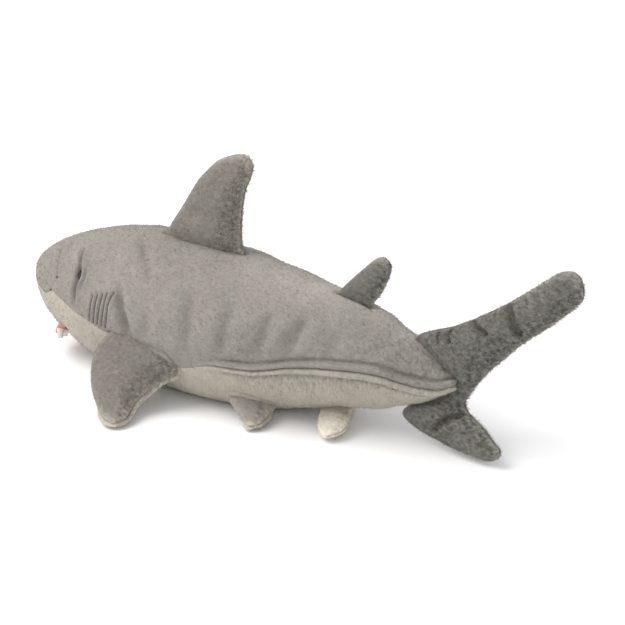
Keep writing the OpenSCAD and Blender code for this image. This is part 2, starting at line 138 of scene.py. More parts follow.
ANAL = [
    [-0.3, 4, 29, 12, 1, 52, 14, 1],
    [0, 13, 30, 7.6, 9, 52, 9.5, 1],
    [0.3, 20, 32, 6.8, 16, 54.5, 8.6, 1],
    [0.7, 31, 37, 5.8, 28, 57, 7, 1],
    [1, 42, 43, 5, 40, 54.5, 5.4, 0.85],
]
TAIL = [
    [0, 14.5, 159.5, 2.8, 14.5, 165, 13, 0.5],
    [0.1, 12, 141, 3.2, 12, 159, 16, 0.66],
    [0.22, 8, 117, 5.2, 8, 148.5, 22.5, 0.85],
    [0.34, 4, 86, 15, 4, 136.5, 28.5, 0.95],
    [0.44, 0, 96, 30, 0, 130.5, 33.5, 0.95],
    [0.5, 0, 98, 46, 0, 135.5, 43, 0.95],
    [0.56, 0, 96, 60, 0, 144, 56, 1],
    [0.63, 0, 93, 73, 0, 157, 71, 1],
    [0.72, 0, 121, 86.5, 0, 170.5, 86, 0.95],
    [0.82, 0, 150, 105.5, 0, 187, 101, 0.88],
    [0.92, 0, 178, 128.5, 0, 203, 117, 0.78],
    [1, 0, 200, 148.5, 0, 213, 129, 0.66],
]
FRONT_X, REAR_X, FULLNESS = 1, 4, 7
# Where the body's rear end stands in front of the tail: height, y
BODY_END = [(22, 85), (31, 106), (37, 114), (46, 121), (50, 120), (56.5, 113), (65, 103), (72, 93)]

EYE_Y, EYE_A = -149, 58
EYE_R, EYE_H = 4.5, 3.2
EYE_SINK = 4.6          # the eye's rim lies this deep, drawn in by its tight stitching
KNOTS = ((-178, 84), (-172.6, 67))      # y and angle of the nostril, and of the nose fold's end
SIDES = {1: "left", -1: "right"}


# ---- Interpolation and the body's skin ----

def smooth(table, column, x):
    """Smooth value of a table's column at each x, through every row."""
    rows = np.asarray(table, float)
    at, value = rows[:, 0], rows[:, column]
    index = np.arange(len(at))
    low, high = np.maximum(index - 1, 0), np.minimum(index + 1, len(at) - 1)
    slope = (value[high] - value[low]) / (at[high] - at[low])
    x = np.asarray(x, float)
    i = np.clip(np.searchsorted(at, x, side="right") - 1, 0, len(at) - 2)
    span = at[i + 1] - at[i]
    t = np.clip((x - at[i]) / span, 0, 1)
    rise = 3 * t**2 - 2 * t**3
    return (
        (1 - rise) * value[i] + rise * value[i + 1]
        + (t**3 - 2 * t**2 + t) * span * slope[i] + (t**3 - t**2) * span * slope[i + 1]
    )


def station(y, column):
    return smooth(STATIONS, column, np.clip(y, SNOUT_Y, REAR_Y))


def signed_power(value, power):
    return np.sign(value) * np.abs(value) ** power


def ease(t):
    """0 to 1, level at both ends."""
    t = np.clip(t, 0, 1)
    return t * t * (3 - 2 * t)


def bell(distance, width):
    return np.exp(-((distance / width) ** 2))


def skin(y, angle):
    """Points of the body's skin at y and angle, in degrees from the top towards the left side.
    Past the first and last station the ring shrinks to a rounded end."""
    y, angle = np.broadcast_arrays(np.asarray(y, float), np.radians(angle))
    past = np.clip((np.maximum(SNOUT_Y - y, y - REAR_Y)) / NOSE_CAP, 0, 1)
    shrink = np.sqrt(1 - past**2)
    widest = station(y, WIDEST)
    up = np.cos(angle) >= 0
    reach = np.where(up, station(y, TOP) - widest, widest - station(y, BOTTOM))
    power = 2 / np.where(up, station(y, SQUARENESS), BELLY_SQUARENESS)
    x = station(y, HALF_W) * signed_power(np.sin(angle), power) * shrink
    z = widest + reach * signed_power(np.cos(angle), power) * shrink
    return np.stack([x, y, np.maximum(z, 0)], -1)


def unit(vectors):
    """The same directions at length 1."""
    return vectors / np.maximum(np.linalg.norm(vectors, axis=-1, keepdims=True), 1e-9)


def outward_normals(points, centre):
    """Unit normals of a grid of points, turned away from the centre."""
    normal = unit(np.cross(np.gradient(points, axis=0), np.gradient(points, axis=1)))
    side = np.sum(normal * (points - centre), axis=-1).mean()
    return normal if side > 0 else -normal


def soft_noise(points, size, seed):
    """Smooth noise between about -1 and 1, with features of that size in mm."""
    flat = points.reshape(-1, 3) / size + seed * 17.31
    values = [noise.noise(Vector(p)) for p in flat]
    return np.array(values).reshape(points.shape[:-1])


def along_line(points, line):
    """Distance of each point from a polyline, how far along the line it is, from 0 to 1, and on
    which side: 1 towards the tail and the top, and -1 the other way."""
    line = np.asarray(line, float)
    pieces = [np.linspace(a, b, 12, endpoint=False) for a, b in zip(line[:-1], line[1:])]
    fine = np.concatenate([*pieces, line[-1:]])
    offset = points.reshape(-1, 1, 3) - fine
    gap = np.linalg.norm(offset, axis=-1)
    nearest = gap.argmin(1)
    picked = offset[np.arange(len(offset)), nearest]
    found = gap.min(1), nearest / (len(fine) - 1), np.sign(picked[:, 1] + picked[:, 2])
    return [values.reshape(points.shape[:-1]) for values in found]


# ---- Meshes ----

SHARP_ANGLE = 62        # degrees between two faces above which their edge is shaded sharp


def new_mesh(name, points, faces):
    """A mesh from points in mm and the faces between them."""
    mesh = bpy.data.meshes.new(name)
    mesh.from_pydata((np.reshape(points, (-1, 3)) * MM).tolist(), [], faces)
    return mesh


def set_values(mesh, **layers):
    """Gives each point of the mesh a value in each layer."""
    for key, values in layers.items():
        layer = mesh.attributes.new(key, "FLOAT", "POINT")
        layer.data.foreach_set("value", values.astype(np.float32))


def read_values(source, key, width=1, kind=float):
    values = np.empty(len(source) * width, kind)
    source.foreach_get(key, values)
    return values.reshape(-1, width) if width > 1 else values


def add_object(name, data):
    obj = bpy.data.objects.new(name, data)
    bpy.context.scene.collection.objects.link(obj)
    return obj


def add_piece(name, mesh, material):
    """A piece with its faces turned outwards and shaded smooth."""
    work = bmesh.new()
    work.from_mesh(mesh)
    bmesh.ops.recalc_face_normals(work, faces=work.faces)
    work.to_mesh(mesh)
    work.free()
    mesh.shade_smooth()
    mesh.set_sharp_from_angle(angle=math.radians(SHARP_ANGLE))
    mesh.materials.append(material)
    return add_object(name, mesh)


def closed_sheet(name, outer, inner, material, nap=None, keep=None, bare_and_shaded=None, rim=None):
    """A sheet of fabric: two grids of points joined round their rims. keep says which cells have
    fabric. The outer side carries the pile, and values from 0 to 1 say how rough it lies (nap),
    where its pile is thinned and its colour darkened as painted shade, in folds, creases and
    stitched hollows (bare_and_shaded), and where its colour is painted lighter as painted rim
    light on fin edges and as a painted highlight along the top of the back (rim)."""
    rows, cols = outer.shape[:2]
    count = rows * cols
    kept = np.ones((rows - 1, cols - 1), bool) if keep is None else keep

    def on(i, j):
        return 0 <= i < rows - 1 and 0 <= j < cols - 1 and kept[i, j]

    def flat(values):
        return np.zeros(count) if values is None else np.asarray(values, float).reshape(-1)

    faces = []
    for i, j in np.argwhere(kept).tolist():
        a = i * cols + j
        b, c, d = a + 1, a + cols + 1, a + cols
        faces.append((a, b, c, d))
        faces.append((count + d, count + c, count + b, count + a))
        for inside, p, q in (
            (on(i - 1, j), b, a), (on(i + 1, j), d, c), (on(i, j - 1), a, d), (on(i, j + 1), c, b),
        ):
            if not inside:
                faces.append((p, q, count + q, count + p))
    mesh = new_mesh(name, np.stack([outer, inner]), faces)
    pile = np.concatenate([1 - np.clip(flat(bare_and_shaded), 0, 1), np.zeros(count)])
    set_values(mesh, pile=pile, nap=np.tile(flat(nap), 2), rim=np.tile(flat(rim), 2))
    return add_piece(name, mesh, material)


def rings_mesh(name, groups, material):
    """One mesh of closed skins, each drawn through a list of rings and closed by a fan at both ends."""
    points, faces = [], []
    for rings in groups:
        n, base = len(rings[0]), len(points)
        points.extend(np.concatenate(rings))
        for low in range(base, len(points) - n, n):
            for j in range(n):
                nxt = (j + 1) % n
                faces.append((low + j, low + nxt, low + n + nxt, low + n + j))
        for k, turn in ((0, True), (len(rings) - 1, False)):
            centre = len(points)
            points.append(np.mean(rings[k], axis=0))
            for j in range(n):
                a, b = base + k * n + j, base + k * n + (j + 1) % n
                faces.append((centre, b, a) if turn else (centre, a, b))
    return add_piece(name, new_mesh(name, points, faces), material)


# ---- Materials ----

class Nodes:
    """Short hand for building a node tree."""

    def __init__(self, tree):
        self.tree = tree
        tree.nodes.clear()

    def set(self, node, inputs):
        """Sets a node's inputs to constants or joins them to other nodes' outputs."""
        for key, value in inputs.items():
            if isinstance(value, bpy.types.NodeSocket):
                self.tree.links.new(value, node.inputs[key])
            else:
                node.inputs[key].default_value = value

    def add(self, kind, inputs=None, **settings):
        node = self.tree.nodes.new(kind)
        for key, value in settings.items():
            setattr(node, key, value)
        self.set(node, inputs or {})
        return node

    def maths(self, operation, a, b):
        return self.add("ShaderNodeMath", {0: a, 1: b}, operation=operation).outputs[0]

    def layer(self, name):
        """A value that the mesh carries."""
        return self.add("ShaderNodeAttribute", attribute_name=name).outputs["Fac"]

    def place(self):
        return self.add("ShaderNodeTexCoord").outputs["Object"]

    def bump(self, strength, distance, height):
        settings = {"Strength": strength, "Distance": distance, "Height": height}
        return self.add("ShaderNodeBump", settings).outputs[0]

    def noise(self, where, scale, detail, roughness=0.5, distortion=0.0):
        node = self.add("ShaderNodeTexNoise", {
            "Vector": where, "Scale": scale, "Detail": detail,
            "Roughness": roughness, "Distortion": distortion,
        })
        return node.outputs["Fac"]

    def mix(self, share, a, b, blend="MIX"):
        node = self.add("ShaderNodeMix", data_type="RGBA", blend_type=blend)
        self.set(node, {0: share, 6: a, 7: b})
        return node.outputs[2]

    def times(self, a, b):
        return self.mix(1.0, a, b, "MULTIPLY")

    def ramp(self, share, low, high):
        node = self.add("ShaderNodeMapRange", {"Value": share, "From Min": low, "From Max": high})
        return node.outputs[0]


def colour(red, green, blue):
    """sRGB, 0 to 255, as a linear colour."""
    def linear(v):
        v = v / 255
        return v / 12.92 if v <= 0.04045 else ((v + 0.055) / 1.055) ** 2.4
    return (linear(red), linear(green), linear(blue), 1.0)


def shade(base, factor):
    return (*(min(c * factor, 1.0) for c in base[:3]), 1.0)


def spread(base, darker, lighter):
    """Two shades of one colour, by the shares that they are darker and lighter."""
    return shade(base, 1 - darker), shade(base, 1 + lighter)


WHITE = (1, 1, 1, 1)


def new_material(name):
    material = bpy.data.materials.new(name)
    material.use_nodes = True
    nodes = Nodes(material.node_tree)
    output = nodes.add("ShaderNodeOutputMaterial")
    shader = nodes.add("ShaderNodeBsdfPrincipled")
    nodes.tree.links.new(shader.outputs[0], output.inputs[0])
    return material, nodes, shader


def plush_tone(nodes, base, contrast, streak):
    """Colour of pile fabric: broad patches, painted light and shade of nap that lies differently, and
    small clumps of fibre, with painted light on the clumps and painted shade in the gaps between them,
    stronger where the nap is rough."""
    stroke = (1.0, 1.35, 0.28) if streak else (1.0, 0.55, 0.85)
    combed = nodes.add("ShaderNodeVectorMath", {0: nodes.place(), 1: stroke}, operation="MULTIPLY")
    where = combed.outputs[0]
    nap = nodes.layer("nap")
    patches = nodes.ramp(nodes.noise(where, 34.0, 3.0, 0.55, 0.4), 0.34, 0.66)
    clumps = nodes.ramp(nodes.noise(where, 520.0, 3.0, 0.6, 0.3), 0.30, 0.70)
    fine = nodes.ramp(nodes.noise(where, 1500.0, 2.0, 0.6), 0.3, 0.7)
    tone = nodes.mix(patches, *spread(base, 0.13 * contrast, 0.09 * contrast))
    # painted shade in the gaps between the clumps and painted light on them
    smooth_gaps = nodes.mix(clumps, *spread(base, 0.24 * contrast, 0.16 * contrast))
    rough_gaps = nodes.mix(clumps, *spread(base, 0.42 * contrast, 0.30 * contrast))
    tone = nodes.mix(0.45, tone, smooth_gaps)
    tone = nodes.mix(nodes.maths("MULTIPLY", nap, 0.75), tone, rough_gaps)
    tone = nodes.times(tone, nodes.mix(fine, (0.82, 0.82, 0.82, 1), WHITE))
    # painted light: colour made up to about twice as light by the rim layer, as painted rim light on fin
    # edges and a painted highlight along the top of the back
    tone = nodes.times(tone, nodes.mix(nodes.layer("rim"), WHITE, (2.1, 2.1, 2.05, 1)))
    # painted shade: colour darkened to about half where the pile is thinned, in folds, creases, the eye's
    # socket and stitched grooves
    painted_bare_shade = nodes.mix(nodes.ramp(nodes.layer("pile"), 0.0, 1.0), (0.56, 0.55, 0.54, 1), WHITE)
    return nodes.times(tone, painted_bare_shade), clumps, fine, nap


def plush(name, base, contrast, streak):
    """Short pile fabric, as the surface under the fibres shows it."""
    material, nodes, shader = new_material(name)
    tone, clumps, fine, nap = plush_tone(nodes, base, contrast, streak)
    height = nodes.maths("ADD", nodes.maths("MULTIPLY", clumps, 0.7), nodes.maths("MULTIPLY", fine, 0.3))
    height = nodes.maths("MULTIPLY", height, nodes.maths("ADD", nodes.maths("MULTIPLY", nap, 1.2), 0.7))
    nodes.set(shader, {
        "Base Color": tone,
        "Roughness": nodes.maths("ADD", nodes.maths("MULTIPLY", fine, 0.12), 0.82),
        "Normal": nodes.bump(0.55, 0.0009, height),
        "Specular IOR Level": 0.12,
        "Sheen Weight": 0.22, "Sheen Roughness": 0.55, "Sheen Tint": shade(base, 1.25),
    })
    return material


def fibre(name, base, contrast, streak):
    """The same fabric's loose fibres, with painted shade darkening each towards its root and painted light
    lightening its tip, and each a little different in tone.
    """
    material, nodes, shader = new_material(name)
    tone, *_ = plush_tone(nodes, base, contrast, streak)
    # painted shade at the root and painted light at the tip, with a random tone for each fibre
    tint = nodes.mix(nodes.layer("light"), (0.80, 0.79, 0.78, 1), (1.25, 1.25, 1.24, 1))
    nodes.set(shader, {
        "Base Color": nodes.times(tone, tint), "Roughness": 0.85,
        "Specular IOR Level": 0.12, "Sheen Weight": 0.2,
    })
    return material


BACK_GREY = colour(153, 148, 141)
FIN_GREY = colour(134, 129, 121)
TAIL_GREY = colour(121, 119, 113)
CREAM = colour(186, 180, 168)
# the cream fabric painted paler for the anal fin, as painted light
PAINTED_LIT_CREAM = colour(232, 224, 210)


# ---- Pile ----

FABRICS = {
    slot: (plush(slot, base, contrast, streak), fibre(f"{slot}_fibre", base, contrast, streak))
    for slot, base, contrast, streak in (
        ("back_plush", BACK_GREY, 1.0, False),
        ("fin_plush", FIN_GREY, 1.35, False),
        ("tail_plush", TAIL_GREY, 1.9, False),
        ("cream_plush", CREAM, 0.9, True),
        ("painted_lit_cream_plush", PAINTED_LIT_CREAM, 0.7, False),
    )
}


def tufts(points, nap):
    """Height of the small clumps that the pile gathers in, stronger where it lies rough."""
    return (0.07 + 0.38 * np.asarray(nap)) * soft_noise(points * np.array([1, 0.6, 0.9]), 2.3, 21)


def pile_roots(mesh):
    """Where a fabric's loose fibres stand, more of them where its pile is rough: the places, the
    directions out of the fabric, its nap and its painted rim light there, and the dice for the fibres."""
    mesh.calc_loop_triangles()
    at = read_values(mesh.vertices, "co", 3) / MM
    facing = read_values(mesh.vertex_normals, "vector", 3)
    corners = read_values(mesh.loop_triangles, "vertices", 3, np.int32)
    pile, nap, rim = (read_values(mesh.attributes[key].data, "value") for key in ("pile", "nap", "rim"))
    a, b, c = (at[corners[:, k]] for k in range(3))
    area = np.linalg.norm(np.cross(b - a, c - a), axis=-1) / 2
    share = pile[corners].min(1) ** 2 * (0.35 + 0.65 * nap[corners].mean(1))
    amount = PILE_PER_MM2 * area * share * 1.0
    dice = np.random.default_rng(len(corners))
    count = int(amount.sum())
    picked = corners[dice.choice(len(corners), count, p=amount / amount.sum())]
    weights = dice.dirichlet((1, 1, 1), count)

    def here(values):
        return np.einsum("ij,ij...->i...", weights, values[picked])

    return here(at), unit(here(facing)), here(nap), here(rim), dice


def grow_pile(obj, slot, comb):
    """Loose fibres on the pile side of a fabric, a piece of its own: narrow blades rooted in the
    fabric that lean in tufts, on the whole the way the pile is stroked."""
    root, up, rough, rim, dice = pile_roots(obj.data)
    count = len(root)
    clump = np.stack([soft_noise(root, 2.6, 31 + k) for k in range(3)], -1)
    stray = dice.normal(0, 0.22, (count, 3))
    lean = (0.5 + 0.35 * rough)[:, None] * up + 0.45 * np.asarray(comb, float)
    lean = lean + (0.5 + 0.7 * rough)[:, None] * clump + stray
    lean = unit(lean + up * np.maximum(0.25 - np.sum(lean * up, axis=-1), 0)[:, None])
    half = unit(np.cross(lean, up) + stray) * FIBRE_W / 2
    length = PILE_LEN * dice.uniform(0.6, 1.15, count) * (0.7 + 0.5 * rough)
    foot = root - 0.15 * up
    blades = np.stack([foot - half, foot + half, root + lean * length[:, None]], 1)
    outward = np.sum(np.cross(blades[:, 1] - blades[:, 0], blades[:, 2] - blades[:, 0]) * up, axis=-1)
    blades[outward < 0] = blades[outward < 0][:, (1, 0, 2)]
    blades[..., 2] = np.maximum(blades[..., 2], 0.02)
    hair = new_mesh(f"{obj.name}_pile", blades, np.arange(3 * count).reshape(-1, 3).tolist())
    # each fibre's random tone, with painted shade at its two root corners and painted light at its tip
    each = dice.uniform(0.15, 0.75, count)
    light = np.stack([each * 0.6, each * 0.6, each + 0.25], 1).reshape(-1)
    # the fibres carry the fabric's painted rim light
    nap, rim = np.repeat(rough, 3), np.repeat(rim, 3)
    set_values(hair, light=light, nap=nap, rim=rim, pile=np.ones(3 * count))
    hair.shade_smooth()
    soft = 0.85 * up + 0.4 * lean
    hair.normals_split_custom_set_from_vertices(np.repeat(soft, 3, axis=0).tolist())
    hair.materials.append(FABRICS[slot][1])
    return add_object(hair.name, hair)


def plain(name, base, rough, specular, grain, scale, sheen=0.0):
    """A small piece's material: one colour with a fine grain."""
    material, nodes, shader = new_material(name)
    speck = nodes.ramp(nodes.noise(nodes.place(), scale, 3.0, 0.6), 0.3, 0.7)
    nodes.set(shader, {
        "Base Color": nodes.mix(speck, *spread(base, grain, grain)), "Roughness": rough,
        "Specular IOR Level": specular, "Sheen Weight": sheen, "Normal": nodes.bump(0.4, 0.0003, speck),
    })
    return material


EYE_PLASTIC = plain("eye_plastic", colour(22, 20, 20), 0.08, 0.6, 0.03, 200.0)
THREAD = plain("stitching", colour(88, 82, 80), 0.6, 0.35, 0.12, 2400.0)
MOUTH_FABRIC = plain("mouth_fabric", colour(186, 120, 102), 0.9, 0.1, 0.10, 1300.0, 0.3)
TOOTH_FELT = plain("tooth_felt", colour(220, 212, 207), 0.95, 0.1, 0.05, 1600.0, 0.2)
STUFFING = plain("stuffing", colour(238, 238, 235), 0.95, 0.1, 0.06, 700.0, 0.3)
WASHER = plain("washer_plastic", colour(214, 214, 210), 0.5, 0.4, 0.02, 300.0)


# ---- Torso ----

# Folds that run round the body, each side alike: points (angle, y), depth, width, and the height
# of the rolls of fabric behind and ahead of the fold.
FOLDS = [
    ([(24, -155.5), (38, -152.5), (51, -149.4), (60, -148.8), (70, -149.4), (92, -150)], 4.2, 1.9, 2.2, 0.9),
    ([(44, -142.4), (58, -142.1), (68, -143.6), (80, -146)], 1.7, 1.2, 0.5, 0),
    ([(12, -181), (24, -178), (42, -176.5), (67, -172.6), (80, -170.1)], 1.5, 1.5, 0.5, 0.4),
    ([(8, -171.5), (30, -169), (48, -170.6)], 0.8, 2.2, 0.3, 0.3),
    ([(54, -113), (67, -109), (75, -106.7), (82, -103.2), (89, -100.7), (102, -97)], 4.6, 3.7, 1.2, 1.6),
    ([(4, -113.6), (28, -100), (42, -90), (58, -89)], 1.9, 4.5, 0.6, 0.6),
    ([(66, -88), (80, -84), (96, -84)], 1.7, 4.0, 0.7, 0.7),
    ([(42, -56), (58, -53), (76, -52), (98, -54)], 2.2, 4.8, 1.0, 1.1),
    ([(44, -22), (60, -24), (78, -25), (96, -28)], 2.5, 4.4, 1.1, 1.0),
    ([(40, 6), (56, 3), (76, 0.7), (92, 0)], 2.3, 4.0, 1.0, 0.9),
    ([(34, 28), (48, 25), (65, 23), (86, 21)], 2.4, 3.8, 1.1, 0.9),
    ([(42, 52), (62, 49), (84, 46)], 1.5, 4.5, 0.5, 0.6),
    ([(30, 78), (52, 76), (74, 72)], 0.8, 4.0, 0.3, 0.3),
    ([(112, -40), (126, -36), (140, -34)], 1.1, 5.0, 0.5, 0.4),
    ([(110, 12), (128, 10), (142, 8)], 1.0, 5.0, 0.4, 0.4),
]
FOLD_FADE = 18          # degrees over which a fold fades in and out
# Soft dimples: y, angle, depth, width
DIMPLES = [
    (18.2, 66.5, 1.8, 5), (-5.8, 84, 1.4, 4.5), (27.6, 53.5, 1.2, 5), (-69, 80, 1.6, 7),
    (-60, 40, 1.0, 9), (-20, 34, 0.6, 10), (40, 30, 0.7, 8), (-128, 40, 0.9, 9), (-150, 20, 0.8, 8),
]
# Where the upright fins pull the back up into a ridge: front, rear and height
RIDGES = [(-124, -10, 3.2), (14, 84, 2.2)]
GILL_TOP_Y, GILL_LOW_Y = (-132, -114), (-134, -119.5)
GILL_TOP_A, GILL_LOW_A = (71, 64), 92
# Where the fins' upper sides are sewn to the skin, drawn in along the stitches
SEWN_LINES = [
    [(48, -116, 45), (49.5, -98, 44), (50, -80, 43), (49.8, -70, 41), (48, -60, 31), (47, -58, 26)],
    [(41, -27, 18), (40, -22.3, 19.9), (36.7, -8.8, 18.2), (31.7, 2.2, 14.8), (29, 5, 12)],
]


def skin_normal(y, angle):
    across = skin(y, angle + 1) - skin(y, angle - 1)
    along = skin(y + 1, angle) - skin(y - 1, angle)
    return unit(np.cross(across, along))


def gill_line(side, i, count=24):
    """y and angle along gill slit number i."""
    across = i / (GILL_COUNT - 1)
    down = np.linspace(0, 1, count)
    top = np.interp(across, (0, 1), GILL_TOP_Y)
    low = np.interp(across, (0, 1), GILL_LOW_Y)
    high = np.interp(across, (0, 1), GILL_TOP_A)
    return top + (low - top) * down, side * (high + (GILL_LOW_A - high) * down)


def near_line(points, line, reach=12.0):
    """Distance of each point from a line, or a large number where it is farther than reach."""
    line = np.asarray(line, float)
    low, high = line.min(0) - reach, line.max(0) + reach
    close = np.all((points > low) & (points < high), axis=-1)
    gap = np.full(points.shape[:-1], 99.0)
    if close.any():
        gap[close] = along_line(points[close], line)[0]
    return gap


def fin_outline(rows, half_t):
    """The left edge of an upright fin's root on the back, as points on the skin."""
    c = np.linspace(0, 1, 24)
    root = np.array(rows[1], float)
    front, rear = root[FRONT_X:REAR_X], root[REAR_X:FULLNESS]
    line = front + (rear - front) * c[:, None]
    line[:, 0] += half_t * np.clip(1 - np.abs(2 * c - 1) ** 2.4, 0, 1) ** 0.55
    share = np.clip(line[:, 0] / station(line[:, 1], HALF_W), -1, 1)
    return skin(line[:, 1], np.degrees(np.arcsin(share)))


def add_folds(height, bare_and_shaded, y, angle):
    """Adds the folds that run round the body."""
    for line, depth, width, behind, ahead in FOLDS:
        angles, ys = zip(*line)
        gap = y - np.interp(angle, angles, ys)
        fade = ease((angle - angles[0]) / FOLD_FADE) * ease((angles[-1] - angle) / FOLD_FADE)
        height += fade * (
            behind * bell(gap - 2.1 * width, 1.5 * width)
            + ahead * bell(gap + 2.1 * width, 1.5 * width) - depth * bell(gap, width)
        )
        # painted shade: the fold's floor darkened, with its pile thinned
        bare_and_shaded += 0.25 * depth / width * fade * bell(gap, 0.8 * width)


def add_stitching(height, bare_and_shaded, points):
    """Adds what is drawn in by thread on the left side: the eye, the fins' roots and the gills,
    with the pile thinned and painted shade in the hollows that they draw in.
    """
    gap = np.linalg.norm(points - skin(EYE_Y, EYE_A), axis=-1)
    height -= (EYE_SINK - 2.6) * np.exp(-((gap / 4.9) ** 4))
    # painted shade: the eye's socket darkened, with its pile thinned
    bare_and_shaded += np.exp(-((gap / 4.2) ** 6))
    for line in SEWN_LINES + [fin_outline(DORSAL, 4.6), fin_outline(REAR_DORSAL, 3.6)]:
        gap = near_line(points, line)
        height -= 1.3 * bell(gap, 1.5)
        bare_and_shaded += 0.5 * bell(gap, 1.0)
    for i in range(GILL_COUNT):
        gap = near_line(points, skin(*gill_line(1, i)), 6)
        height += 0.4 * bell(gap - 2.0, 1.2) - 0.8 * bell(gap, 0.8)
        bare_and_shaded += 0.45 * bell(gap, 0.75)


def body_relief(points, y, angle):
    """Height that folds, dimples, ripples and pulled stitches add to the skin, and how far the pile is
    thinned and the colour darkened as painted shade there. Both sides are alike, but for the ripples."""
    height = 0.9 * soft_noise(points, 26, 1) + 0.45 * soft_noise(points, 11, 2)
    for front, rear, rise in RIDGES:
        height += rise * bell(points[..., 0], 12) * ease((y - front) / 12) * ease((rear - y) / 12)
    bare_and_shaded = np.zeros_like(height)
    add_folds(height, bare_and_shaded, y, np.abs(angle))
    mirrored = points * np.array([-1, 1, 1])
    for dimple_y, dimple_a, depth, width in DIMPLES:
        centre = skin(dimple_y, dimple_a)
        for where in (points, mirrored):
            height -= depth * bell(np.linalg.norm(where - centre, axis=-1), width)
    for where in (points, mirrored):
        add_stitching(height, bare_and_shaded, where)
    return height, bare_and_shaded


def edge_distance(points, first):
    """Distance over the fabric from each point to its row's first or last column."""
    steps = np.linalg.norm(np.diff(points, axis=1), axis=-1)
    arc = np.concatenate([np.zeros((len(points), 1)), np.cumsum(steps, 1)], 1)
    return arc if first else arc[:, -1:] - arc


def tucked(distance, tuck):
    """A seam at a panel's edge, drawn in."""
    return -tuck * np.clip(1 - distance / 1.6, 0, 1) ** 2


def rolled(distance, y, widths):
    """The side seam at a panel's edge: drawn in, with a proud roll and a groove beside it."""
    shown = ease((y + 46) / 30)
    width = widths[0] + (widths[1] - widths[0]) * ease((y + 20) / 105)
    drawn = -(0.15 + (SEAM_TUCK - 0.15) * shown) * np.clip(1 - distance / 1.1, 0, 1) ** 2
    across = np.clip(distance / width, 0, 1)
    roll = np.sqrt(np.clip(1 - (2 * across - 1) ** 2, 0, 1))
    groove = bell(distance - width - 0.9, 1.5)
    return drawn + shown * (WELT_H * roll - 1.5 * groove)


def spaced(start, end, count, crowd_start=False, crowd_end=False):
    """Numbers from start to end, closer together at the ends asked for."""
    t = np.linspace(0, 1, count)
    if crowd_start and crowd_end:
        t = (1 - np.cos(math.pi * t)) / 2
    elif crowd_end:
        t = np.sin(math.pi / 2 * t)
    elif crowd_start:
        t = 1 - np.cos(math.pi / 2 * t)
    return start + (end - start) * t


def bands(*parts):
    """Shares from 0 to 1 across a panel, in bands with a spacing of their own."""
    return np.concatenate([spaced(*part)[:-1] for part in parts] + [[1.0]])[None]


END_STEP, HEAD_STEP, BODY_STEP = 0.4, 0.9, 1.6      # spacing of the points along the body
FINE_Y = (-162, -98)    # where the head's folds and stitches lie


def body_rows(first, last):
    """Values of y along the body, crowded at the ends and over the head's folds and stitches."""
    rows = [first]
    while rows[-1] < last:
        y = rows[-1]
        if min(y - first, last - y) < NOSE_CAP + 1.5:
            step = END_STEP
        else:
            step = HEAD_STEP if FINE_Y[0] < y < FINE_Y[1] else BODY_STEP
        rows.append(y + step)
    rows = np.array(rows)
    return first + (rows - first) * (last - first) / (rows[-1] - first)


PUFF_CELL = 5.0         # cell of the cloth simulation
PUFF_LIMIT = 1.6        # most that it may move the fabric
PUFF_FRAMES = 18
CLOTH = {
    "quality": 6, "mass": 0.2, "tension_stiffness": 12, "compression_stiffness": 12, "shear_stiffness": 5,
    "bending_stiffness": 0.8, "tension_damping": 8, "compression_damping": 8, "use_pressure": True,
    "vertex_group_mass": "held",
}


def kept_rows(points, axis):
    """Which rows of a grid the cloth simulation keeps, so that its cells are about PUFF_CELL long."""
    steps = np.linalg.norm(np.diff(points, axis=axis), axis=-1)
    length = steps.mean(1 - axis).sum()
    count = points.shape[axis]
    return np.unique(np.linspace(0, count - 1, max(int(length / PUFF_CELL), 8)).round().astype(int))


def simulate(obj, grow, pressure):
    """Points of a cloth after the filling has pressed on it."""
    cloth = obj.modifiers.new("cloth", "CLOTH")
    for key, value in CLOTH.items():
        setattr(cloth.settings, key, value)
    cloth.settings.shrink_min = -grow
    cloth.settings.uniform_pressure_force = pressure
    cloth.settings.effector_weights.gravity = 0
    cloth.collision_settings.use_collision = False
    cloth.point_cache.frame_start, cloth.point_cache.frame_end = 1, PUFF_FRAMES
    for number in range(1, PUFF_FRAMES + 1):
        bpy.context.scene.frame_set(number)
    shaped = obj.evaluated_get(bpy.context.evaluated_depsgraph_get()).data
    return read_values(shaped.vertices, "co", 3) / MM


def puff(points, normal, grow=0.05, pressure=6.0):
    """Cloth simulation of one panel, cut a little large, held along its seams and pressed outwards
    by the filling. Returns the height that it adds to the panel."""
    rows, cols = points.shape[:2]
    ri, ci = kept_rows(points, 0), kept_rows(points, 1)
    coarse, out = points[np.ix_(ri, ci)], normal[np.ix_(ri, ci)]
    m, n = len(ri), len(ci)
    faces = [(i * n + j, i * n + j + 1, (i + 1) * n + j + 1, (i + 1) * n + j)
             for i in range(m - 1) for j in range(n - 1)]
    mesh = new_mesh("puff", coarse, faces)
    mesh.update()
    if (read_values(mesh.polygons, "normal", 3) * out[:-1, :-1].reshape(-1, 3)).sum() < 0:
        mesh.flip_normals()
    obj = add_object("puff", mesh)
    seam = [i * n + j for i in range(m) for j in range(n) if i in (0, m - 1) or j in (0, n - 1)]
    obj.vertex_groups.new(name=CLOTH["vertex_group_mass"]).add(seam, 1.0, "REPLACE")
    moved = simulate(obj, grow, pressure).reshape(m, n, 3) - coarse
    height = np.sum(moved * out, axis=-1)
    bpy.data.objects.remove(obj)
    bpy.data.meshes.remove(mesh)
    bpy.context.scene.frame_set(1)
    height = PUFF_LIMIT * np.tanh(height / PUFF_LIMIT)
    part = np.array([np.interp(np.arange(cols), ci, row) for row in height])
    return np.array([np.interp(np.arange(rows), ri, col) for col in part.T]).T


